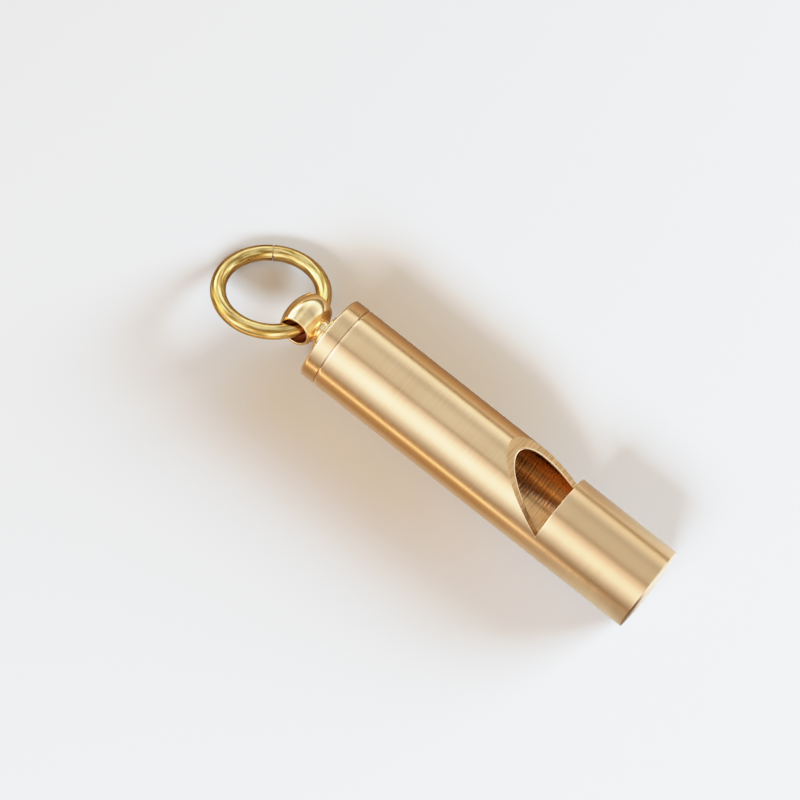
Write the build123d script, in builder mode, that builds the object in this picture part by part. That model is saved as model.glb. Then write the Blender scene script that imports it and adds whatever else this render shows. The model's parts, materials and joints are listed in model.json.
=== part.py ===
from build123d import *
from math import cos, degrees, radians, sin
import os

# Training whistle: a brass tube whistle lying on its side, with a swivelling eye and a jump ring.
#
# Frame, in millimetres: the origin is the centre of the mouth end, +X runs out of the mouth along the
# tube's axis, and +Z points up from the surface that the whistle lies on. A "turn" is a right-hand
# rotation about +X, counted from +Z.

# Tube
tube_r = 5.0
bore_r = 4.15
seam_x = -42.47  # where the tube meets the cap
mouth_chamfer = 0.12
seam_chamfer = 0.12  # each side of the V-groove between tube and cap

# Sound window: a square wall towards the mouth, and a slanted cut that runs out at the tube's surface
window_wall_x = -12.94
window_apex_x = -21.40
window_depth = 4.35
window_turn = -28.7

# Fipple plug
windway_h = 0.90  # between the plug's flat and the bore's wall
plug_chamfer = 0.25  # on the flat's inner edge

# End cap
cap_face_x = -44.40
cap_edge_r = 0.30
spigot_l = 4.00
spigot_chamfer = 0.30
cap_web = 1.50  # thickness of the end wall that the stud turns in
pocket_r = 2.90  # room for the washer and the peened end
shank_r = 1.30
shank_gap = 0.06  # radial running clearance of the shank in the cap

# Eye stud: its head is a barrel, round about the cross hole and drilled through from end to end
eye_r = 2.35  # at the barrel's middle
eye_end_r = 1.86
eye_half_l = 2.33
eye_x = -47.50
eye_edge_r = 0.12
hole_r = 1.56
hole_turn = 69.5
hole_edge_r = 0.12
neck_r = 1.40
neck_flare_r = 0.45
collar_r = 2.20
collar_t = 0.50
collar_edge_r = 0.12
collar_gap = 0.10  # between the collar and the cap's face
peen_r = 1.90
peen_h = 0.80

# Retaining washer
washer_r = 2.60
washer_t = 0.50
washer_gap = 0.10  # between the washer and the cap's end wall

# Jump ring
ring_r = 5.80  # to the middle of the wire
wire_r = 0.875
ring_droop = 15.0  # how far the ring has swung from straight out
ring_nudge = 0.52  # how far the wire sits from the hole's axis, towards the cap
ring_slide = -0.90  # how far the ring's middle sits along the hole's axis
seam_turn = -122.4  # from the wire in the hole to the butt seam
seam_gap = 0.08


def turned(turn):
    """The direction across the tube at this turn from +Z."""
    return Vector(0, -sin(radians(turn)), cos(radians(turn)))


def rims(piece, radius, tolerance=0.001):
    """The piece's circular edges of this radius, from the eye towards the mouth."""
    circles = piece.edges().filter_by(GeomType.CIRCLE)
    return circles.filter_by(lambda edge: abs(edge.radius - radius) < tolerance).sort_by(Axis.X)


mouth_plane = Plane.YZ
profile_plane = Plane.XZ  # half sections for turned pieces: x along the axis, y is the radius
window_plane = Plane(origin=(0, 0, 0), x_dir=(1, 0, 0), z_dir=Vector(1, 0, 0).cross(turned(window_turn)))

# ---- Body tube ----
with BuildPart() as body_tube:
    with BuildSketch(mouth_plane):
        Circle(tube_r)
        Circle(bore_r, mode=Mode.SUBTRACT)
    extrude(amount=seam_x)
    chamfer(rims(body_tube, tube_r)[0], seam_chamfer)
    chamfer(rims(body_tube, tube_r)[-1], mouth_chamfer)
    # The cut's side view: its slanted line passes the apex and is carried on above the tube.
    overshoot = 1.0
    run_per_depth = (window_wall_x - window_apex_x) / window_depth
    with BuildSketch(window_plane):
        with BuildLine():
            Polyline(
                (window_wall_x, tube_r - window_depth),
                (window_wall_x, tube_r + overshoot),
                (window_apex_x - overshoot * run_per_depth, tube_r + overshoot),
                close=True,
            )
        make_face()
    extrude(amount=tube_r, both=True, mode=Mode.SUBTRACT)

# ---- Fipple plug ----
plug_plane = Plane(origin=(0, 0, 0), x_dir=-window_plane.z_dir, z_dir=(1, 0, 0))
flat_h = bore_r - windway_h
with BuildPart() as fipple_plug:
    with BuildSketch(plug_plane):
        Circle(bore_r)
        with Locations((0, flat_h)):
            Rectangle(2 * bore_r, bore_r, align=(Align.CENTER, Align.MIN), mode=Mode.SUBTRACT)
    extrude(amount=window_wall_x)
    inner_edge = fipple_plug.edges().filter_by(GeomType.LINE).group_by(Axis.X)[0]
    chamfer(inner_edge, plug_chamfer)

# ---- End cap ----
web_inner_x = cap_face_x + cap_web
spigot_end_x = seam_x + spigot_l
with BuildPart() as end_cap:
    with BuildSketch(mouth_plane.offset(cap_face_x)):
        Circle(tube_r)
    extrude(amount=seam_x - cap_face_x)
    fillet(rims(end_cap, tube_r)[0], cap_edge_r)
    chamfer(rims(end_cap, tube_r)[-1], seam_chamfer)
    with BuildSketch(mouth_plane.offset(seam_x)):
        Circle(bore_r)
    extrude(amount=spigot_l)
    chamfer(rims(end_cap, bore_r)[-1], spigot_chamfer)
    with BuildSketch(mouth_plane.offset(web_inner_x)):
        Circle(pocket_r)
    extrude(amount=spigot_end_x - web_inner_x, mode=Mode.SUBTRACT)
    with BuildSketch(mouth_plane.offset(cap_face_x)):
        Circle(shank_r + shank_gap)
    extrude(amount=cap_web, mode=Mode.SUBTRACT)

# ---- Eye stud ----
eye_centre = Vector(eye_x, 0, 0)
hole_dir = turned(hole_turn)
hole_axis = Axis(eye_centre, hole_dir)
barrel_plane = Plane(origin=eye_centre, x_dir=hole_dir, z_dir=Vector(1, 0, 0))  # half section: x along the hole
collar_x = cap_face_x - collar_gap
washer_x = web_inner_x + washer_gap
peen_x = washer_x + washer_t
dome_r = (peen_r**2 + peen_h**2) / (2 * peen_h)  # sphere that the peened end is a cap of
with BuildPart() as eye_stud:
    with BuildSketch(profile_plane):
        with BuildLine():
            Polyline(
                (eye_x, 0),
                (eye_x, neck_r),
                (collar_x - collar_t, neck_r),
                (collar_x - collar_t, collar_r),
                (collar_x, collar_r),
                (collar_x, shank_r),
                (peen_x, shank_r),
                (peen_x, peen_r),
            )
            RadiusArc((peen_x, peen_r), (peen_x + peen_h, 0), dome_r)
            Line((peen_x + peen_h, 0), (eye_x, 0))
        make_face()
    revolve(axis=Axis.X)
    fillet(rims(eye_stud, collar_r)[0], collar_edge_r)
    fillet(rims(eye_stud, neck_r)[-1], neck_flare_r)
    with BuildSketch(barrel_plane):
        with BuildLine():
            ThreePointArc((-eye_half_l, eye_end_r), (0, eye_r), (eye_half_l, eye_end_r))
            Polyline((eye_half_l, eye_end_r), (eye_half_l, 0), (-eye_half_l, 0), (-eye_half_l, eye_end_r))
        make_face()
    revolve(axis=hole_axis)
    barrel_ends = rims(eye_stud, eye_end_r)
    fillet((barrel_ends[0], barrel_ends[-1]), eye_edge_r)
    with Locations(Plane(origin=eye_centre, z_dir=hole_dir)):
        Cylinder(hole_r, 4 * eye_half_l, mode=Mode.SUBTRACT)
    fillet(rims(eye_stud, hole_r), hole_edge_r)

# ---- Retaining washer ----
with BuildPart() as retaining_washer:
    with BuildSketch(mouth_plane.offset(washer_x)):
        Circle(washer_r)
        Circle(shank_r + shank_gap, mode=Mode.SUBTRACT)
    extrude(amount=washer_t)

# ---- Jump ring ----
to_wire = Vector(1, 0, 0).rotate(hole_axis, ring_droop)  # from the ring's middle to the wire in the hole
ring_centre = eye_centre + to_wire * (ring_nudge - ring_r) + hole_dir * ring_slide
ring_axis = Axis(ring_centre, to_wire.cross(hole_dir))
to_seam = to_wire.rotate(ring_axis, seam_turn)
seam_angle = degrees(seam_gap / ring_r)
with BuildPart() as jump_ring:
    with BuildSketch(Plane(origin=ring_centre, x_dir=to_seam, z_dir=to_seam.cross(ring_axis.direction))):
        with Locations((ring_r, 0)):
            Circle(wire_r)
    revolve(axis=ring_axis, revolution_arc=360 - seam_angle)

# ---- Names and files ----
pieces = {
    "body_tube": body_tube,
    "fipple_plug": fipple_plug,
    "end_cap": end_cap,
    "eye_stud": eye_stud,
    "retaining_washer": retaining_washer,
    "jump_ring": jump_ring,
}
os.makedirs("parts", exist_ok=True)
for name, piece in pieces.items():
    piece.part.label = name
    export_step(piece.part, f"parts/{name}.step")

# The places that the joints and the ring's mount are given at.
print("hole direction", hole_dir)
print("ring centre", ring_centre, "ring axis", ring_axis.direction)
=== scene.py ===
import json
from math import acos, asin, ceil, cos, pi, radians, sin, sqrt, tan

import bmesh
import bpy
import numpy as np
from mathutils import Matrix, Vector


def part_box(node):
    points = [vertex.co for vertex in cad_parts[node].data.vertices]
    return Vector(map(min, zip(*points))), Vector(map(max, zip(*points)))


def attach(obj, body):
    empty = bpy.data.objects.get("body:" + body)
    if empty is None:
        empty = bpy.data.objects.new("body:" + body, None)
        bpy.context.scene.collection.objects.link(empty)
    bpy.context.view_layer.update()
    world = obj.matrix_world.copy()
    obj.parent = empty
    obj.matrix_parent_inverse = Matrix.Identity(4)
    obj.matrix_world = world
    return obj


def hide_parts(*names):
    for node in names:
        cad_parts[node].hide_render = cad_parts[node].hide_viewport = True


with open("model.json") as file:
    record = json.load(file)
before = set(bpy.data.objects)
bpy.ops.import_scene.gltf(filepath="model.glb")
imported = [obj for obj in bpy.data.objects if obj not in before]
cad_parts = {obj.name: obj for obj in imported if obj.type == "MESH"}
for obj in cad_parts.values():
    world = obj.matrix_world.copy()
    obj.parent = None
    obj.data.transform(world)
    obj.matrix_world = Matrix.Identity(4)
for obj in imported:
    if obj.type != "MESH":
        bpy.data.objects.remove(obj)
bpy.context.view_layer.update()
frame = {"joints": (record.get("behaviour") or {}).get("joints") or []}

# A brass tube whistle lying on a pale floor. Metres; +X runs out of the mouth along the tube's axis,
# which is the line y = z = 0. A "turn" is a right-hand rotation about +X, counted from +Z.

MM = 0.001


def turned(turn):
    """The direction across the tube at this turn, in radians, from +Z."""
    return Vector((0.0, -sin(turn), cos(turn)))


# ---------------------------------------------------------------- sizes, from the frame where it has them

tube_low, tube_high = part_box("body_tube")
plug_low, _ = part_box("fipple_plug")
_, cap_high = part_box("end_cap")
stud_low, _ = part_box("eye_stud")
washer_low, washer_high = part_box("retaining_washer")
joints = {joint["name"]: joint for joint in frame["joints"]}

TUBE_R = tube_high.z
BORE_R = 4.15 * MM
SEAM_X = tube_low.x
SEAM_BEVEL, SEAM_BEVEL_DROP = 0.20 * MM, 0.08 * MM  # the tube's end, along it and across it
SEAM_GROOVE, SEAM_DEPTH = 0.11 * MM, 0.35 * MM  # the gap that the cap leaves beside that
EDGE_R = 0.12 * MM  # the mouth's rounded outer edge
LIP_R = 0.085 * MM  # the fine rounding of the milled edges

WALL_X = plug_low.x  # the window's square end, flush with the plug
APEX_X = -21.40 * MM
WINDOW_DEPTH = 4.35 * MM
WINDOW_TURN = radians(-28.7)
RUN_PER_DEPTH = (WALL_X - APEX_X) / WINDOW_DEPTH

PLUG_FLAT = BORE_R - 0.90 * MM
PLUG_CHAMFER = 0.25 * MM
PLUG_EDGE_R = 0.05 * MM

CAP_X = -44.40 * MM
CAP_EDGE_R = 0.30 * MM
POCKET_R = 2.90 * MM
POCKET_X = CAP_X + 1.50 * MM
SHANK_HOLE_R = 1.36 * MM

EYE = Vector(joints["ring_swing"]["pos_m"])
HOLE_DIR = Vector(joints["ring_swing"]["axis"]).normalized()
EYE_R = EYE.x - stud_low.x  # the eye is a barrel along the hole
EYE_END_R = 1.86 * MM
EYE_HALF_L = 2.33 * MM
HOLE_R = 1.56 * MM
HOLE_EDGE_R = 0.13 * MM
NECK_R = 1.40 * MM
NECK_FLARE_R = 0.45 * MM
COLLAR_R = 2.20 * MM
COLLAR_X = CAP_X - 0.10 * MM
COLLAR_T = 0.50 * MM
SHANK_R = 1.30 * MM
PEEN_R = 1.90 * MM
PEEN_H = 0.80 * MM

RING_R = 5.80 * MM
WIRE_R = 0.875 * MM
RING_DROOP = radians(15.0)
RING_NUDGE = 0.52 * MM
RING_SLIDE = -0.90 * MM
SEAM_TURN = radians(-122.4)
SEAM_GAP = 0.08 * MM

FLOOR_Z = tube_low.z

# ---------------------------------------------------------------- camera

CAMERA_AT = Vector((30.61, -156.93, 583.41)) * MM
CAMERA_RIGHT = Vector((0.78033, 0.62024, 0.07986))
CAMERA_UP = Vector((-0.61627, 0.74099, 0.26673))
LENS_MM = 252.0
SENSOR_MM = 36.0


def make_camera():
    back = CAMERA_RIGHT.cross(CAMERA_UP).normalized()
    up = back.cross(CAMERA_RIGHT).normalized()
    right = up.cross(back)
    data = bpy.data.cameras.new("camera")
    data.lens = LENS_MM
    data.sensor_width = SENSOR_MM
    data.clip_start = 0.01
    data.clip_end = 10.0
    camera = bpy.data.objects.new("camera", data)
    bpy.context.scene.collection.objects.link(camera)
    rotation = Matrix((right, up, back)).transposed().to_4x4()
    camera.matrix_world = Matrix.Translation(CAMERA_AT) @ rotation
    bpy.context.scene.camera = camera


make_camera()

# ---------------------------------------------------------------- mesh helpers

CAP_SEGMENTS, STUD_SEGMENTS, WASHER_SEGMENTS = 256, 192, 96  # round each turned piece
LONGEST_RUN = 0.4 * MM  # along a turned piece's outline
SHARP = radians(32)  # an edge that bends more than this is shaded sharp
WORN_FROM, WORN_FULL = radians(6), radians(14)  # bends between neighbouring faces that handling polishes
WELD = 1e-8  # points nearer than this are one
TINY = 1e-7  # a rounding smaller than this is left as a corner


def add_piece(name, bm, body, nodes, slot, *materials):
    """Makes a piece of the mesh, smooth but for its sharp edges, in place of the CAD nodes."""
    bmesh.ops.remove_doubles(bm, verts=bm.verts, dist=WELD)
    bmesh.ops.recalc_face_normals(bm, faces=bm.faces)
    for face in bm.faces:
        face.smooth = True
    for edge in bm.edges:
        edge.smooth = len(edge.link_faces) == 2 and edge.calc_face_angle(0.0) < SHARP
    worn = bm.verts.layers.float.new("worn")
    for vert in bm.verts:
        bend = max((edge.calc_face_angle(pi) for edge in vert.link_edges), default=0.0)
        vert[worn] = min(1.0, max(0.0, (bend - WORN_FROM) / (WORN_FULL - WORN_FROM)))
    mesh = bpy.data.meshes.new(name)
    bm.to_mesh(mesh)
    bm.free()
    for material in materials:
        mesh.materials.append(material)
    piece = bpy.data.objects.new(name, mesh)
    bpy.context.scene.collection.objects.link(piece)
    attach(piece, body)
    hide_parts(*nodes)
    return piece


def add_grid(bm, rows, wrap_rows=False, wrap_columns=False, material=0):
    """Quads over a grid of points: rows is a list of rows of the same length."""
    verts = [[bm.verts.new(point) for point in row] for row in rows]
    row_count, column_count = len(verts), len(verts[0])
    for i in range(row_count if wrap_rows else row_count - 1):
        upper, lower = verts[i], verts[(i + 1) % row_count]
        for j in range(column_count if wrap_columns else column_count - 1):
            k = (j + 1) % column_count
            bm.faces.new((upper[j], upper[k], lower[k], lower[j])).material_index = material
    return verts


def rounded(corners, radii, steps=4):
    """The open polyline with arcs of these radii at its inner corners. Short runs get smaller arcs."""
    path = [Vector(corners[0])]
    for i, wanted in enumerate(radii, start=1):
        corner = Vector(corners[i])
        back, ahead = Vector(corners[i - 1]) - corner, Vector(corners[i + 1]) - corner
        reach = 0.45 * min(back.length, ahead.length)
        if wanted == 0:
            path.append(corner)
            continue
        if min(wanted, reach) < TINY:
            path.extend([corner] * (steps + 1))
            continue
        half = back.angle(ahead) / 2
        radius = min(wanted, reach * tan(half))
        start = corner + back.normalized() * (radius / tan(half))
        end = corner + ahead.normalized() * (radius / tan(half))
        centre = corner + (back.normalized() + ahead.normalized()).normalized() * (radius / sin(half))
        sweep = (start - centre).angle(end - centre)
        for step in range(steps + 1):
            share = step / steps
            a = sin((1 - share) * sweep) / sin(sweep)
            b = sin(share * sweep) / sin(sweep)
            path.append(centre + (start - centre) * a + (end - centre) * b)
    path.append(Vector(corners[-1]))
    return path


def split_runs(path, longest):
    """Adds points so that no run of the polyline is longer than this."""
    result = [path[0]]
    for start, end in zip(path, path[1:]):
        count = max(1, ceil((end - start).length / longest))
        result.extend(start.lerp(end, step / count) for step in range(1, count + 1))
    return result


def lathe(bm, profile, segments, axis=Vector((1, 0, 0)), origin=Vector((0, 0, 0)), closed=False):
    """Turns (along, radius) points about an axis. A closed profile makes a ring, an open one a solid."""
    side = axis.orthogonal().normalized()
    other = axis.cross(side)
    rows = []
    for along, radius in profile:
        spots = [2 * pi * j / segments for j in range(segments)]
        rows.append([origin + axis * along + (side * cos(a) + other * sin(a)) * radius for a in spots])
    add_grid(bm, rows, wrap_rows=closed, wrap_columns=True)


# ---------------------------------------------------------------- body tube

SURFACES = ("outer_eye", "outer_mouth", "bore_eye", "bore_mouth", "cut", "wall", "mouth_end", "seam_end")
COARSE_FROM = SEAM_X + SEAM_BEVEL  # the outside starts here, in long faces
FINE_FROM = APEX_X - 1 * MM  # and has shorter ones from here, round the window
BORE_ROWS_FROM = -24.0 * MM  # towards the mouth from here the bore's turning marks show through the window
BORE_ROW = 0.075 * MM
RIDGES = ((0.0055 * MM, 0.39 * MM, 0.0), (0.0035 * MM, 0.57 * MM, 1.3), (0.002 * MM, 1.31 * MM, 2.1))
RIDGE_FADE = 0.25 * MM
WEAR_REACH = 0.15 * MM  # how far an edge's wear spreads onto the flat beside it
LIP_EASE = radians(7)  # the lips' rounding fades out over this angle at the window's corners
LIP_POINTS = 5  # along each rounded lip
CUT_RUNS = 6  # between the two lips
COARSE_ROWS, FINE_ROWS, MOUTH_ROWS, BORE_MOUTH_ROWS = 16, 20, 12, 10
COLUMNS = (60, 3, 67)  # in half the tube: where the cut reaches the bore, beside that, and behind

HALF_OUTER = acos((TUBE_R - WINDOW_DEPTH) / TUBE_R)  # where the cut meets the outside at its wall
HALF_INNER = acos((TUBE_R - WINDOW_DEPTH) / BORE_R)  # where it meets the bore there


def cut_x(radius, off):
    """Where the slanted cut crosses this radius, off being the angle from the window's middle."""
    return APEX_X + (TUBE_R - radius * cos(off)) * RUN_PER_DEPTH


def bore_radius(x, end):
    """The bore's radius with its turning marks, which fade out towards the lip."""
    fade = min(1.0, max(0.0, min(end - x, x - BORE_ROWS_FROM) / RIDGE_FADE))
    marks = sum(size * sin(2 * pi * x / pitch + phase) for size, pitch, phase in RIDGES)
    return BORE_R + marks * fade


def hold_wear(runs):
    """Adds a row close to each end of the run, so that the wear on its edges stays there."""
    first = min(WEAR_REACH, (runs[1] - runs[0]) / 2)
    last = min(WEAR_REACH, (runs[-1] - runs[-2]) / 2)
    return [runs[0], runs[0] + first, *runs[1:-1], runs[-1] - last, runs[-1]]


def tube_angles():
    """Angles from the window's middle round the tube, with columns where the cut's corners are."""
    stops = (0.0, HALF_INNER, HALF_OUTER, pi)
    half = [0.0]
    for start, end, count in zip(stops, stops[1:], COLUMNS):
        half.extend(np.linspace(start, end, count + 1)[1:])
    return [-angle for angle in half[-2:0:-1]] + half


def evenly(start, end, count):
    """Points from start up to end, and not end itself."""
    return [start + (end - start) * i / count for i in range(count)]


def spread(path, through):
    """The same count of points on every column of the cut: its roundings and the runs between them."""
    head = path[:LIP_POINTS]
    tail = path[-LIP_POINTS:] if through else [path[-1]] * LIP_POINTS
    start, end = Vector(head[-1]), Vector(tail[0])
    middle = [start.lerp(end, i / CUT_RUNS) for i in range(1, CUT_RUNS)]
    return [tuple(point) for point in (*head, *middle, *tail)]


def window_sides(off, outer_stop, bore_stop):
    """The slanted cut's and the square wall's outlines at this angle, from the outside inwards.

    They end in the bore at bore_stop, or on the line where they meet if bore_stop is None.
    """
    away = abs(off)
    lip = max(WELD, LIP_R * min(1.0, (HALF_OUTER - away) / LIP_EASE))
    inner_lip = max(WELD, LIP_R * min(1.0, max(0.0, HALF_INNER - away) / LIP_EASE))
    outside = [(COARSE_FROM, TUBE_R), outer_stop]
    outside_wall = [(0, TUBE_R), (WALL_X, TUBE_R)]
    if bore_stop is None:
        foot = (WALL_X, (TUBE_R - WINDOW_DEPTH) / cos(off))
        return rounded([*outside, foot], [lip])[1:], rounded([*outside_wall, foot], [lip])[1:]
    inside = [bore_stop, (bore_stop[0] - 2 * MM, BORE_R)]
    inside_wall = [(WALL_X, BORE_R), (0, BORE_R)]
    lips = [lip, inner_lip]
    return rounded([*outside, *inside], lips)[1:-1], rounded([*outside_wall, *inside_wall], lips)[1:-1]


def tube_column(off):
    """The tube's outline at this angle from the window's middle: (x, radius) points for each surface."""
    in_window = abs(off) <= HALF_OUTER + WELD
    through = abs(off) <= HALF_INNER + WELD
    outer_end = min(cut_x(TUBE_R, off), WALL_X) if in_window else WALL_X
    bore_end = min(cut_x(BORE_R, off), WALL_X) if through else WALL_X
    outer_go = bore_go = WALL_X  # where the outside and the bore go on towards the mouth
    column = {}
    if in_window:
        slant, wall = window_sides(off, (outer_end, TUBE_R), (bore_end, BORE_R) if through else None)
        column["cut"], column["wall"] = spread(slant, through), spread(wall, through)
        outer_end, outer_go = slant[0][0], wall[0][0]
        if through:
            bore_end, bore_go = slant[-1][0], wall[-1][0]
    coarse = evenly(COARSE_FROM, FINE_FROM, COARSE_ROWS)
    runs = [*coarse, *evenly(FINE_FROM, outer_end, FINE_ROWS), outer_end]
    column["outer_eye"] = [(x, TUBE_R) for x in hold_wear(runs)]
    runs = [*evenly(outer_go, -EDGE_R, MOUTH_ROWS), -EDGE_R]
    column["outer_mouth"] = [(x, TUBE_R) for x in hold_wear(runs)]
    coarse = evenly(SEAM_X, BORE_ROWS_FROM, COARSE_ROWS)
    rows = ceil((WALL_X - BORE_ROWS_FROM) / BORE_ROW)
    runs = [*coarse, *evenly(BORE_ROWS_FROM, bore_end, rows), bore_end]
    column["bore_eye"] = [(x, bore_radius(x, bore_end)) for x in runs]
    column["bore_mouth"] = [(x, BORE_R) for x in [*evenly(bore_go, 0, BORE_MOUTH_ROWS), 0]]
    column["mouth_end"] = rounded([(-1 * MM, TUBE_R), (0, TUBE_R), (0, BORE_R)], [EDGE_R], steps=6)[1:]
    column["seam_end"] = [(COARSE_FROM, TUBE_R), (SEAM_X, TUBE_R - SEAM_BEVEL_DROP), (SEAM_X, BORE_R)]
    return column


def make_body_tube(satin, bored, milled):
    finishes = {"bore_eye": 1, "bore_mouth": 1, "cut": 2, "wall": 2}  # the rest are satin
    angles = tube_angles()
    strips = {surface: [] for surface in SURFACES}
    for off in angles:
        direction = turned(WINDOW_TURN + off)
        for surface, points in tube_column(off).items():
            strips[surface].append([Vector((x, 0, 0)) + direction * radius for x, radius in points])
    bm = bmesh.new()
    for surface, rows in strips.items():
        add_grid(bm, rows, wrap_rows=len(rows) == len(angles), material=finishes.get(surface, 0))
    return add_piece("whistle_body_tube", bm, "whistle", ["body_tube"], "satin_brass", satin, bored, milled)


# ---------------------------------------------------------------- fipple plug

PLUG_ARC_POINTS, PLUG_FLAT_RUNS = 180, 40  # round the plug's D
PLUG_EDGE_STEPS, PLUG_RUNS = 4, 8  # along the plug


def plug_outline(inset, drop):
    """The D of the plug, pulled in by inset, with its flat lowered by drop as well."""
    radius = BORE_R - inset
    flat = PLUG_FLAT - inset - drop
    corner = acos(flat / radius)
    turns = np.linspace(corner, 2 * pi - corner, PLUG_ARC_POINTS)
    arc = [(sin(turn) * radius, cos(turn) * radius) for turn in turns]
    (start, _), (end, _) = arc[-1], arc[0]
    shares = [i / PLUG_FLAT_RUNS for i in range(1, PLUG_FLAT_RUNS)]
    return arc + [(start + (end - start) * share, flat) for share in shares]


def make_fipple_plug(material):
    across = turned(WINDOW_TURN)
    side = Vector((1, 0, 0)).cross(across)
    sections = []  # x, how far the outline is pulled in, how much lower its flat is
    for i in range(PLUG_EDGE_STEPS + 1):
        turn = pi / 2 * i / PLUG_EDGE_STEPS
        sections.append((-PLUG_EDGE_R * (1 - cos(turn)), PLUG_EDGE_R * (1 - sin(turn)), 0.0))
    straight = -WALL_X - PLUG_EDGE_R - PLUG_CHAMFER
    for i in range(1, PLUG_RUNS + 1):
        sections.append((-(PLUG_EDGE_R + straight * i / PLUG_RUNS), 0.0, 0.0))
    sections.append((WALL_X + PLUG_EDGE_R, 0.0, PLUG_CHAMFER - PLUG_EDGE_R))
    sections.append((WALL_X, PLUG_EDGE_R, PLUG_CHAMFER))
    bm = bmesh.new()
    rows = []
    for x, inset, drop in sections:
        rows.append([Vector((x, 0, 0)) + side * s + across * h for s, h in plug_outline(inset, drop)])
    verts = add_grid(bm, rows, wrap_columns=True)
    bm.faces.new(verts[0])
    bm.faces.new(verts[-1])
    return add_piece("whistle_fipple_plug", bm, "whistle", ["fipple_plug"], "satin_brass", material)


# ---------------------------------------------------------------- end cap

def make_end_cap(material):
    fine = 0.04 * MM
    spigot_chamfer = 0.30 * MM
    corners = [
        (POCKET_X, SHANK_HOLE_R),
        (CAP_X, SHANK_HOLE_R),
        (CAP_X, TUBE_R),
        (SEAM_X - SEAM_GROOVE, TUBE_R),
        (SEAM_X - SEAM_GROOVE, TUBE_R - SEAM_DEPTH),
        (SEAM_X, TUBE_R - SEAM_DEPTH),
        (SEAM_X, BORE_R),
        (cap_high.x - spigot_chamfer, BORE_R),
        (cap_high.x, BORE_R - spigot_chamfer),
        (cap_high.x, POCKET_R),
        (POCKET_X, POCKET_R),
        (POCKET_X, SHANK_HOLE_R),
    ]
    path = rounded(corners, [fine, CAP_EDGE_R, fine, 0, 0, 0, 0, 0, fine, 0], steps=6)
    path = split_runs(path, LONGEST_RUN)
    bm = bmesh.new()
    lathe(bm, [tuple(point) for point in path[:-1]], CAP_SEGMENTS, closed=True)
    return add_piece("whistle_end_cap", bm, "whistle", ["end_cap"], "satin_brass", material)


# ---------------------------------------------------------------- eye stud and its washer

BULGE_STEPS = 20  # along half the barrel
DOME_STEPS = 12  # over the peened end


def eye_section():
    """The barrel's section about the hole: half the hole's wall, a rounded end, the bulge and back."""
    bulge = EYE_R - EYE_END_R
    arc_r = (EYE_HALF_L**2 + bulge**2) / (2 * bulge)
    bulge_points = []
    for i in range(2 * BULGE_STEPS + 1):
        along = (EYE_HALF_L - 3 * HOLE_EDGE_R) * (1 - i / BULGE_STEPS)
        bulge_points.append((along, EYE_R - arc_r + sqrt(arc_r**2 - along**2)))
    corners = [
        (0, HOLE_R),
        (EYE_HALF_L, HOLE_R),
        (EYE_HALF_L, EYE_END_R),
        *bulge_points,
        (-EYE_HALF_L, EYE_END_R),
        (-EYE_HALF_L, HOLE_R),
        (0, HOLE_R),
    ]
    ends = [HOLE_EDGE_R, HOLE_EDGE_R]
    path = rounded(corners, [*ends, *([0] * len(bulge_points)), *ends], steps=6)
    return [tuple(point) for point in split_runs(path, LONGEST_RUN)[:-1]]


def shank_section():
    """The neck, collar, shank and peened end about the tube's axis, from inside the eye's wall."""
    washer_end = washer_high.x
    dome_r = (PEEN_R**2 + PEEN_H**2) / (2 * PEEN_H)
    root_x = EYE.x + 0.5 * (HOLE_R + sqrt(EYE_R**2 - NECK_R**2))
    collar_back = COLLAR_X - COLLAR_T
    corners = [
        (root_x, 0),
        (root_x, NECK_R),
        (collar_back, NECK_R),
        (collar_back, COLLAR_R),
        (COLLAR_X, COLLAR_R),
        (COLLAR_X, SHANK_R),
        (washer_end, SHANK_R),
        (washer_end, PEEN_R),
    ]
    path = rounded(corners, [0, NECK_FLARE_R, 0.12 * MM, 0.06 * MM, 0, 0], steps=8)
    dome_x = washer_end + PEEN_H - dome_r
    widest = asin(PEEN_R / dome_r)
    angles = [widest * (1 - i / DOME_STEPS) for i in range(1, DOME_STEPS + 1)]
    dome = [(dome_x + dome_r * cos(angle), dome_r * sin(angle)) for angle in angles]
    return [tuple(point) for point in path] + dome


def lathe_object(section, **placing):
    """A scratch object turned from a section."""
    bm = bmesh.new()
    lathe(bm, section, STUD_SEGMENTS, **placing)
    bmesh.ops.remove_doubles(bm, verts=bm.verts, dist=WELD)
    bmesh.ops.recalc_face_normals(bm, faces=bm.faces)
    mesh = bpy.data.meshes.new("eye_stud_half")
    bm.to_mesh(mesh)
    bm.free()
    half = bpy.data.objects.new("eye_stud_half", mesh)
    bpy.context.scene.collection.objects.link(half)
    return half


def make_eye_stud(polished, drilled):
    """The eye and its shank, joined. The wall of the eye's hole has the drilled finish, painted dark for
    the shade inside it.
    """
    eye = lathe_object(eye_section(), axis=HOLE_DIR, origin=EYE, closed=True)
    shank = lathe_object(shank_section())
    union = eye.modifiers.new("union", "BOOLEAN")
    union.operation = "UNION"
    union.solver = "EXACT"
    union.object = shank
    joined = bpy.data.meshes.new_from_object(eye.evaluated_get(bpy.context.evaluated_depsgraph_get()))
    for half in (eye, shank):
        bpy.data.objects.remove(half)
    bm = bmesh.new()
    bm.from_mesh(joined)
    drilled_r = HOLE_R + 0.02 * MM
    for face in bm.faces:
        from_eye = face.calc_center_median() - EYE
        along = from_eye.dot(HOLE_DIR)
        off_hole = (from_eye - HOLE_DIR * along).length
        face.material_index = int(off_hole < drilled_r and abs(along) < EYE_HALF_L)
    return add_piece("whistle_eye_stud", bm, "eye", ["eye_stud"], "polished_brass", polished, drilled)


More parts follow.
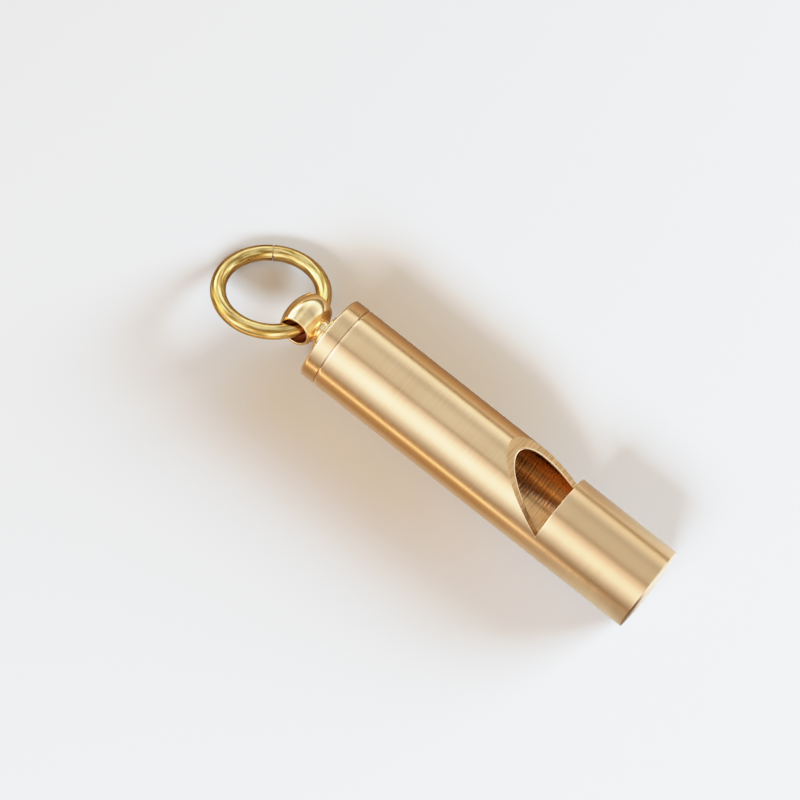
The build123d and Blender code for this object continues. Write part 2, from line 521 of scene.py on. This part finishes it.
def make_retaining_washer(material):
    inner, outer = SHANK_HOLE_R, washer_high.z
    start, end = washer_low.x, washer_high.x
    middle = ((start + end) / 2, inner)
    corners = [middle, (start, inner), (start, outer), (end, outer), (end, inner), middle]
    path = rounded(corners, [0.05 * MM] * 4)
    bm = bmesh.new()
    lathe(bm, [tuple(point) for point in path[:-1]], WASHER_SEGMENTS, closed=True)
    return add_piece("whistle_retaining_washer", bm, "eye", ["retaining_washer"],
                     "polished_brass", material)


# ---------------------------------------------------------------- jump ring

RING_STEPS = 300
WIRE_STEPS = 48
CUT_EDGE_R = 0.05 * MM
CUT_EDGE_STEPS = 4
SEAM_SHIFT = 0.035 * MM  # how far the two ends miss each other
SEAM_SHIFT_OVER = radians(16)


def ring_frame():
    """The ring's middle, the direction to its wire in the hole, and its axis."""
    swing = Matrix.Rotation(RING_DROOP, 3, HOLE_DIR)
    to_wire = swing @ Vector((1, 0, 0))
    centre = EYE + to_wire * (RING_NUDGE - RING_R) + HOLE_DIR * RING_SLIDE
    return centre, to_wire, to_wire.cross(HOLE_DIR).normalized()


def make_jump_ring(material):
    centre, to_wire, axis = ring_frame()
    to_seam = Matrix.Rotation(SEAM_TURN, 3, axis) @ to_wire
    gap = SEAM_GAP / RING_R
    stations = [(gap / 2, WIRE_R - CUT_EDGE_R)]  # turn from the seam's middle, radius of the wire
    for i in range(1, CUT_EDGE_STEPS + 1):
        turn = pi / 2 * i / CUT_EDGE_STEPS
        from_cut = gap / 2 + CUT_EDGE_R * (1 - cos(turn)) / RING_R
        stations.append((from_cut, WIRE_R - CUT_EDGE_R * (1 - sin(turn))))
    edge = stations[-1][0]
    stations += [(edge + (2 * pi - 2 * edge) * i / RING_STEPS, WIRE_R) for i in range(1, RING_STEPS)]
    stations += [(2 * pi - turn, radius) for turn, radius in reversed(stations[:CUT_EDGE_STEPS + 1])]
    bm = bmesh.new()
    unrolled = bm.verts.layers.float_vector.new("unrolled")
    spots = [2 * pi * j / WIRE_STEPS for j in range(WIRE_STEPS)]
    rows = []
    for turn, radius in stations:
        out = Matrix.Rotation(turn, 3, axis) @ to_seam
        off_seam = min(turn, 2 * pi - turn)
        shift = SEAM_SHIFT * max(0.0, 1 - off_seam / SEAM_SHIFT_OVER) ** 2 * (1 if turn < pi else -1)
        middle = centre + out * (RING_R - abs(shift)) + axis * shift * 0.5
        rows.append([middle + (out * cos(a) + axis * sin(a)) * radius for a in spots])
    verts = add_grid(bm, rows, wrap_columns=True)
    for (turn, radius), row in zip(stations, verts):
        for a, vert in zip(spots, row):
            vert[unrolled] = (RING_R * turn, WIRE_R * cos(a), WIRE_R * sin(a))
    bm.faces.new(verts[0])
    bm.faces.new(verts[-1])
    return add_piece("whistle_jump_ring", bm, "ring", ["jump_ring"], "ring_wire", material)


# ---------------------------------------------------------------- materials

SATIN_DEEP, SATIN_PALE, SATIN_WORN = (0.85, 0.66, 0.43), (0.90, 0.72, 0.49), (0.96, 0.81, 0.60)
SATIN_DULL = (0.78, 0.60, 0.38)
MILLED_DEEP, MILLED_PALE = (0.50, 0.34, 0.18), (0.71, 0.53, 0.32)
# the bore's colours are painted shade and inter-reflection: darker and redder than the outside brass
BORE_SHADED_DEEP, BORE_SHADED_PALE = (0.76, 0.45, 0.20), (0.94, 0.67, 0.37)
POLISHED_DEEP, POLISHED_PALE = (0.90, 0.72, 0.42), (0.95, 0.80, 0.54)
# the drilled colours are painted shade and inter-reflection inside the eye's hole, darker and redder than
# brass
DRILLED_SHADED_DEEP, DRILLED_SHADED_PALE = (0.62, 0.30, 0.15), (0.76, 0.42, 0.24)
WIRE_DEEP, WIRE_PALE = (0.46, 0.32, 0.09), (0.86, 0.71, 0.36)


def add_node(tree, kind, **settings):
    """A shader node. A setting named after a socket sets or links that socket, any other is a property."""
    node = tree.nodes.new(kind)
    for name, value in settings.items():
        socket = node.inputs.get(name.replace("_", " "))
        if socket is None:
            setattr(node, name, value)
        elif isinstance(value, bpy.types.NodeSocket):
            tree.links.new(value, socket)
        else:
            socket.default_value = value
    return node


def calculate(tree, operation, a, b):
    """Arithmetic on two values, each a number or a socket."""
    node = add_node(tree, "ShaderNodeMath", operation=operation)
    for socket, value in zip(node.inputs, (a, b)):
        if isinstance(value, bpy.types.NodeSocket):
            tree.links.new(value, socket)
        else:
            socket.default_value = value
    return node.outputs[0]


def map_range(tree, value, from_min, from_max, to_min, to_max):
    node = add_node(
        tree, "ShaderNodeMapRange", Value=value,
        From_Min=from_min, From_Max=from_max, To_Min=to_min, To_Max=to_max,
    )
    return node.outputs[0]


def grain(tree, vector, size, detail=2.0):
    """Noise about 0.5 whose features measure size, in metres, along the three axes."""
    scale = tuple(1 / length for length in size)
    stretched = add_node(tree, "ShaderNodeMapping", Vector=vector, Scale=scale).outputs[0]
    return add_node(tree, "ShaderNodeTexNoise", Vector=stretched, Scale=1.0, Detail=detail).outputs["Fac"]


def mix_colour(tree, share, a, b):
    node = add_node(tree, "ShaderNodeMix", data_type="RGBA")
    for socket, value in ((node.inputs[0], share), (node.inputs[6], a), (node.inputs[7], b)):
        if isinstance(value, bpy.types.NodeSocket):
            tree.links.new(value, socket)
        else:
            socket.default_value = value if isinstance(value, float) else (*value, 1.0)
    return node.outputs[2]


def vary(tree, noise, low, high):
    """The usual spread of a noise, about 0.3 to 0.7, stretched to this range."""
    return map_range(tree, noise, 0.3, 0.7, low, high)


def mottle(tree, noise, deep, pale):
    """A tone between two colours that follows the noise, wholly one of them at its extremes."""
    return mix_colour(tree, map_range(tree, noise, 0.35, 0.65, 0.0, 1.0), deep, pale)


def scaled(tree, value, factor):
    return calculate(tree, "MULTIPLY", value, factor)


def new_material(name):
    """A metal with nodes: returns it, its node tree and its Principled shader."""
    material = bpy.data.materials.new(name)
    material.use_nodes = True
    tree = material.node_tree
    shader = tree.nodes["Principled BSDF"]
    shader.inputs["Metallic"].default_value = 1.0
    return material, tree, shader


def finish_metal(tree, shader, colour, roughness, height, depth):
    """Links the shader to its colour, roughness and a bump this deep, in metres."""
    bump = add_node(tree, "ShaderNodeBump", Height=height, Strength=1.0, Distance=depth)
    tree.links.new(colour, shader.inputs["Base Color"])
    tree.links.new(roughness, shader.inputs["Roughness"])
    tree.links.new(bump.outputs[0], shader.inputs["Normal"])


def brush_round_axis(tree, shader, amount):
    """Stretches the light along the tube, across marks that run round it."""
    tangent = add_node(tree, "ShaderNodeTangent", direction_type="RADIAL", axis="X").outputs[0]
    tree.links.new(tangent, shader.inputs["Tangent"])
    shader.inputs["Anisotropic"].default_value = amount
    shader.inputs["Anisotropic Rotation"].default_value = 0.25


def make_satin_brass():
    """Brass turned on a lathe and brushed: fine marks run round the axis and stretch the light along it."""
    material, tree, shader = new_material("satin_brass")
    here = add_node(tree, "ShaderNodeTexCoord").outputs["Object"]
    worn = add_node(tree, "ShaderNodeAttribute", attribute_name="worn").outputs["Fac"]
    hair = grain(tree, here, (0.035 * MM, 2.5 * MM, 2.5 * MM), detail=3.0)
    stroke = grain(tree, here, (0.28 * MM, 7 * MM, 7 * MM), detail=2.0)
    cloud = grain(tree, here, (5 * MM, 3 * MM, 3 * MM), detail=3.0)
    streak = map_range(tree, calculate(tree, "ADD", cloud, stroke), 0.75, 1.25, 0.0, 1.0)
    tone = mix_colour(tree, streak, SATIN_DEEP, SATIN_PALE)
    x = add_node(tree, "ShaderNodeSeparateXYZ", Vector=here).outputs["X"]
    mouth_section = map_range(tree, x, -15 * MM, -11 * MM, 0.0, 1.0)
    on_cap = map_range(tree, x, SEAM_X, SEAM_X - 0.2 * MM, 0.0, 0.5)
    tone = mix_colour(tree, scaled(tree, mouth_section, 0.75), tone, SATIN_DULL)
    tone = mix_colour(tree, on_cap, tone, SATIN_DULL)
    tone = mix_colour(tree, scaled(tree, worn, 0.6), tone, SATIN_WORN)
    rough = calculate(tree, "ADD", vary(tree, hair, 0.30, 0.38), vary(tree, stroke, -0.03, 0.03))
    rough = calculate(tree, "ADD", rough, scaled(tree, mouth_section, 0.06))
    rough = calculate(tree, "SUBTRACT", rough, scaled(tree, worn, 0.10))
    height = calculate(tree, "ADD", scaled(tree, hair, 0.5), stroke)
    finish_metal(tree, shader, tone, rough, height, depth=0.0022 * MM)
    brush_round_axis(tree, shader, amount=0.95)
    return material


def make_bored_brass():
    """The inside of the tube: brass painted darker and redder for the shade and inter-reflection inside it,
    with the boring tool's rings.
    """
    material, tree, shader = new_material("bored_brass")
    here = add_node(tree, "ShaderNodeTexCoord").outputs["Object"]
    ring = grain(tree, here, (0.11 * MM, 9 * MM, 9 * MM), detail=2.0)
    stain = grain(tree, here, (2.0 * MM, 1.2 * MM, 1.2 * MM), detail=3.0)
    tone = mottle(tree, stain, BORE_SHADED_DEEP, BORE_SHADED_PALE)
    rough = calculate(tree, "ADD", vary(tree, ring, 0.20, 0.32), vary(tree, stain, -0.04, 0.04))
    finish_metal(tree, shader, tone, rough, ring, depth=0.012 * MM)
    brush_round_axis(tree, shader, amount=0.9)
    return material


def make_milled_brass():
    """The window's cut: duller brass with the cutter's marks across it and edges worn bright."""
    material, tree, shader = new_material("milled_brass")
    here = add_node(tree, "ShaderNodeTexCoord").outputs["Object"]
    worn = add_node(tree, "ShaderNodeAttribute", attribute_name="worn").outputs["Fac"]
    marks = grain(tree, here, (0.13 * MM, 4 * MM, 4 * MM), detail=2.0)
    stain = grain(tree, here, (1.5 * MM, 1.0 * MM, 1.0 * MM), detail=3.0)
    tone = mottle(tree, marks, MILLED_DEEP, MILLED_PALE)
    tone = mix_colour(tree, worn, tone, SATIN_WORN)
    rough = vary(tree, stain, 0.30, 0.42)
    rough = calculate(tree, "SUBTRACT", rough, scaled(tree, worn, 0.15))
    finish_metal(tree, shader, tone, rough, marks, depth=0.010 * MM)
    return material


def make_drilled_brass():
    """The wall of the eye's hole: brass painted dark and reddish for the shade and inter-reflection inside
    the hole.
    """
    material, tree, shader = new_material("drilled_brass")
    here = add_node(tree, "ShaderNodeTexCoord").outputs["Object"]
    stain = grain(tree, here, (0.5 * MM, 0.5 * MM, 0.5 * MM), detail=3.0)
    tone = mottle(tree, stain, DRILLED_SHADED_DEEP, DRILLED_SHADED_PALE)
    rough = vary(tree, stain, 0.26, 0.40)
    finish_metal(tree, shader, tone, rough, stain, depth=0.02 * MM)
    return material


def make_polished_brass():
    """Brass buffed to a mirror, rosier than the tube, with a faint haze of fine scratches."""
    material, tree, shader = new_material("polished_brass")
    here = add_node(tree, "ShaderNodeTexCoord").outputs["Object"]
    worn = add_node(tree, "ShaderNodeAttribute", attribute_name="worn").outputs["Fac"]
    scratch = grain(tree, here, (0.05 * MM, 0.9 * MM, 0.9 * MM), detail=3.0)
    swell = grain(tree, here, (0.9 * MM, 0.9 * MM, 0.9 * MM), detail=1.0)
    tone = mottle(tree, swell, POLISHED_DEEP, POLISHED_PALE)
    rough = calculate(tree, "SUBTRACT", vary(tree, scratch, 0.07, 0.15), scaled(tree, worn, 0.04))
    height = calculate(tree, "ADD", scaled(tree, scratch, 0.06), swell)
    finish_metal(tree, shader, tone, rough, height, depth=0.006 * MM)
    return material


def make_ring_wire():
    """Drawn wire, greener than the brass, with die lines along it and a few darker stretches."""
    material, tree, shader = new_material("ring_wire")
    unrolled = add_node(tree, "ShaderNodeAttribute", attribute_name="unrolled").outputs["Vector"]
    worn = add_node(tree, "ShaderNodeAttribute", attribute_name="worn").outputs["Fac"]
    die_line = grain(tree, unrolled, (6 * MM, 0.06 * MM, 0.06 * MM), detail=3.0)
    stretch = grain(tree, unrolled, (3.0 * MM, 0.4 * MM, 0.4 * MM), detail=2.0)
    tone = mix_colour(tree, map_range(tree, stretch, 0.38, 0.56, 0.0, 1.0), WIRE_DEEP, WIRE_PALE)
    rough = calculate(tree, "SUBTRACT", vary(tree, die_line, 0.12, 0.26), scaled(tree, worn, 0.05))
    height = calculate(tree, "ADD", scaled(tree, die_line, 0.5), scaled(tree, stretch, 0.8))
    finish_metal(tree, shader, tone, rough, height, depth=0.012 * MM)
    return material


satin_brass = make_satin_brass()
bored_brass = make_bored_brass()
milled_brass = make_milled_brass()
drilled_brass = make_drilled_brass()
polished_brass = make_polished_brass()
ring_wire = make_ring_wire()

make_body_tube(satin_brass, bored_brass, milled_brass)
make_fipple_plug(satin_brass)
make_end_cap(satin_brass)
make_eye_stud(polished_brass, drilled_brass)
make_retaining_washer(polished_brass)
make_jump_ring(ring_wire)

# ---------------------------------------------------------------- floor and light

# what the metal sees above the floor, by turn in degrees: a broad light on each side of a pale ceiling
SURROUND = (
    (-92, (1.05, 0.88, 0.62)),
    (-89, (0.30, 0.24, 0.17)),
    (-81, (0.30, 0.25, 0.20)),
    (-75, (1.45, 1.35, 1.20)),
    (-62, (0.93, 0.91, 0.92)),
    (-46, (0.56, 0.54, 0.51)),
    (-25, (0.74, 0.71, 0.68)),
    (4, (0.69, 0.65, 0.60)),
    (9, (0.35, 0.30, 0.25)),
    (14, (0.68, 0.63, 0.58)),
    (47, (1.70, 1.40, 1.40)),
    (60, (1.30, 1.22, 1.22)),
    (76, (0.80, 0.78, 0.78)),
    (92, (0.48, 0.42, 0.36)),
)
# and how that changes by the direction's part along +X
SURROUND_ALONG = (
    (-1.00, (2.50, 2.60, 2.70)),
    (-0.85, (2.20, 2.30, 2.40)),
    (-0.72, (0.90, 0.90, 0.90)),
    (-0.45, (1.40, 1.45, 1.50)),
    (-0.18, (0.97, 0.97, 0.97)),
    (0.30, (0.97, 0.97, 0.97)),
    (0.60, (1.50, 1.55, 1.60)),
    (0.82, (0.70, 0.65, 0.60)),
    (1.00, (0.60, 0.55, 0.50)),
)
# painted reflection: the light and shade that the metal sees of the floor beside the whistle, by distance
# in mm from the tube's axis towards +Y
PAINTED_FLOOR_REFLECTION = (
    (-33, (0.34, 0.25, 0.14)),
    (-25, (2.70, 1.90, 1.35)),
    (-19, (0.66, 0.47, 0.27)),
    (-11, (0.46, 0.30, 0.15)),
    (-6, (0.62, 0.51, 0.40)),
    (0, (0.34, 0.22, 0.12)),
    (12, (0.40, 0.27, 0.17)),
    (23, (0.56, 0.38, 0.22)),
    (65, (0.68, 0.54, 0.34)),
)
# and the painted reflection of the floor in front of the mouth
PAINTED_MOUTH_REFLECTION = (
    (-6, (0.30, 0.20, 0.12)),
    (-1.5, (0.16, 0.09, 0.04)),
    (0.5, (1.30, 1.30, 1.40)),
    (6, (1.30, 1.30, 1.40)),
)
AMBIENT = (0.49, 0.32, 0.14)
BACKDROP = (0.92, 0.93, 0.95)
AIM = Vector((-20 * MM, 0, 0))  # where the lights point
FLOOR_COLOUR = (0.78, 0.775, 0.77)
PAINTED_WARM_SHADE = (0.73, 0.64, 0.54)  # painted warm shade on the floor beside the tube, standing in for its shadow and for the light that the brass throws down beside itself
PAINTED_SHADE_ACROSS = (7 * MM, 19 * MM)
PAINTED_SHADE_TO_MOUTH = (-32 * MM, -6 * MM)
PAINTED_SHADE_TO_RING = (44 * MM, 56 * MM)
PAINTED_OPEN_FLOOR = (0.80, 0.78, 0.74)  # painted reflection: what the metal sees of the floor near the mouth, clear of the painted warm shade
PAINTED_OPEN_TO_MOUTH = (-22 * MM, -1 * MM)
FLOOR_FADE = (160 * MM, 340 * MM)  # where the floor fades into the backdrop, beyond the lights' reach


def smooth_fall(tree, value, span):
    """One up to the span's start, easing to zero at its end."""
    start, end = span
    node = add_node(
        tree, "ShaderNodeMapRange", interpolation_type="SMOOTHSTEP", Value=value,
        From_Min=start, From_Max=end, To_Min=1.0, To_Max=0.0,
    )
    return node.outputs[0]


def add_ramp(tree, value, stops):
    """A colour for the value, from stops in rising order."""
    lowest, highest = stops[0][0], stops[-1][0]
    ramp = add_node(tree, "ShaderNodeValToRGB", Fac=map_range(tree, value, lowest, highest, 0.0, 1.0))
    elements = ramp.color_ramp.elements
    elements[0].color = (*stops[0][1], 1.0)
    elements[1].color = (*stops[-1][1], 1.0)
    for place, colour in stops[1:-1]:
        elements.new((place - lowest) / (highest - lowest)).color = (*colour, 1.0)
    return ramp.outputs["Color"]


def multiply_colours(tree, a, b):
    node = add_node(tree, "ShaderNodeVectorMath", operation="MULTIPLY")
    tree.links.new(a, node.inputs[0])
    tree.links.new(b, node.inputs[1])
    return node.outputs[0]


def painted_floor_reflection(tree, across, x):
    """The painted light and shade that the metal sees of the floor, across being the distance in mm from
    the axis towards +Y.
    """
    back_from_mouth = smooth_fall(tree, x, PAINTED_OPEN_TO_MOUTH)
    beside = mix_colour(tree, back_from_mouth, PAINTED_OPEN_FLOOR, add_ramp(tree, across, PAINTED_FLOOR_REFLECTION))
    past_mouth = map_range(tree, x, 0.0, 1.0 * MM, 0.0, 1.0)
    return mix_colour(tree, past_mouth, beside, add_ramp(tree, across, PAINTED_MOUTH_REFLECTION))


def floor_with_painted_shade(tree, x, y):
    """The floor's own colour, with a painted warm shade beside the tube."""
    # painted warm shade beside the tube, fading out across it and towards the mouth and the ring
    along = calculate(
        tree, "MULTIPLY",
        smooth_fall(tree, x, PAINTED_SHADE_TO_MOUTH), smooth_fall(tree, scaled(tree, x, -1.0), PAINTED_SHADE_TO_RING),
    )
    beside = smooth_fall(tree, calculate(tree, "ABSOLUTE", y, 0.0), PAINTED_SHADE_ACROSS)
    return mix_colour(tree, calculate(tree, "MULTIPLY", beside, along), FLOOR_COLOUR, PAINTED_WARM_SHADE)


def make_floor_material():
    """The metal sees the floor as painted light and shade that glows for reflections only, and everything
    else sees it lit.
    """
    material = bpy.data.materials.new("floor")
    material.use_nodes = True
    tree = material.node_tree
    shader = tree.nodes["Principled BSDF"]
    here = add_node(tree, "ShaderNodeTexCoord").outputs["Object"]
    parts = add_node(tree, "ShaderNodeSeparateXYZ", Vector=here).outputs
    x, y = parts["X"], parts["Y"]
    reflected = add_node(tree, "ShaderNodeLightPath").outputs["Is Glossy Ray"]
    reach = add_node(tree, "ShaderNodeVectorMath", operation="LENGTH")
    tree.links.new(here, reach.inputs[0])
    # for glossy rays the floor is black and glows with the painted reflection instead, though it is no lamp
    links = {
        "Base Color": mix_colour(tree, reflected, floor_with_painted_shade(tree, x, y), (0.0, 0.0, 0.0)),
        "Emission Color": painted_floor_reflection(tree, calculate(tree, "DIVIDE", y, MM), x),
        "Emission Strength": reflected,
        "Alpha": smooth_fall(tree, reach.outputs["Value"], FLOOR_FADE),
    }
    for socket, value in links.items():
        tree.links.new(value, shader.inputs[socket])
    shader.inputs["Roughness"].default_value = 0.9
    shader.inputs["Specular IOR Level"].default_value = 0.1
    return material


def make_floor():
    bm = bmesh.new()
    bmesh.ops.create_grid(bm, x_segments=1, y_segments=1, size=3.0)
    mesh = bpy.data.meshes.new("floor")
    bm.to_mesh(mesh)
    bm.free()
    mesh.materials.append(make_floor_material())
    floor = bpy.data.objects.new("floor", mesh)
    floor.location = (0, 0, FLOOR_Z)
    bpy.context.scene.collection.objects.link(floor)


def make_world():
    """A plain warm ambient light, and the surround that the metal reflects."""
    world = bpy.data.worlds.new("studio")
    bpy.context.scene.world = world
    world.use_nodes = True
    tree = world.node_tree
    toward = add_node(tree, "ShaderNodeTexCoord").outputs["Generated"]
    parts = add_node(tree, "ShaderNodeSeparateXYZ", Vector=toward).outputs
    turn = calculate(tree, "ARCTAN2", scaled(tree, parts["Y"], -1.0), parts["Z"])
    by_turn = add_ramp(tree, scaled(tree, turn, 180 / pi), SURROUND)
    by_along = add_ramp(tree, parts["X"], SURROUND_ALONG)
    surround = multiply_colours(tree, by_turn, by_along)
    path = add_node(tree, "ShaderNodeLightPath").outputs
    colour = mix_colour(tree, path["Is Glossy Ray"], AMBIENT, surround)
    colour = mix_colour(tree, path["Is Camera Ray"], colour, BACKDROP)
    tree.links.new(colour, tree.nodes["Background"].inputs["Color"])


def add_softbox(name, turn, along, distance, size, radiance):
    """Lights the floor, unseen in the metal. The angles are in degrees; along leans the light to +X."""
    toward = turned(radians(turn)) * cos(radians(along)) + Vector((sin(radians(along)), 0, 0))
    light = bpy.data.lights.new(name, "AREA")
    light.shape = "RECTANGLE"
    light.size, light.size_y = size
    strength = max(radiance)
    light.color = tuple(part / strength for part in radiance)
    light.energy = strength * pi * size[0] * size[1]
    lamp = bpy.data.objects.new(name, light)
    side = Vector((1, 0, 0))
    side = (side - toward * side.dot(toward)).normalized()
    rotation = Matrix((side, toward.cross(side), toward)).transposed().to_4x4()
    lamp.matrix_world = Matrix.Translation(AIM + toward * distance) @ rotation
    lamp.visible_glossy = False
    bpy.context.scene.collection.objects.link(lamp)


VIEW_WHITE = 2.6
# Each pair is a level of light and how bright it shows.
VIEW_CURVE = ((0.10, 0.075), (0.30, 0.27), (0.60, 0.60), (0.90, 0.85), (1.40, 0.955))


def set_view():
    """The standard view with a film-like shoulder, so that highlights roll off instead of clipping."""
    view = bpy.context.scene.view_settings
    view.view_transform = "Standard"
    view.use_curve_mapping = True
    curves = view.curve_mapping
    curves.white_level = (VIEW_WHITE,) * 3
    tone = curves.curves[3]
    tone.points[1].location = (1.0, 1.0)
    for light, shown in VIEW_CURVE:
        tone.points.new(light / VIEW_WHITE, shown)
    curves.update()


make_floor()
make_world()
add_softbox("light_near", turn=52, along=10, distance=0.50, size=(0.30, 0.13), radiance=(13.0, 16.5, 20.5))
add_softbox("light_far", turn=-58, along=35, distance=0.50, size=(0.30, 0.20), radiance=(5.7, 7.5, 9.5))
add_softbox("light_low", turn=-68, along=35, distance=0.50, size=(0.30, 0.16), radiance=(10.0, 13.3, 16.5))
set_view()
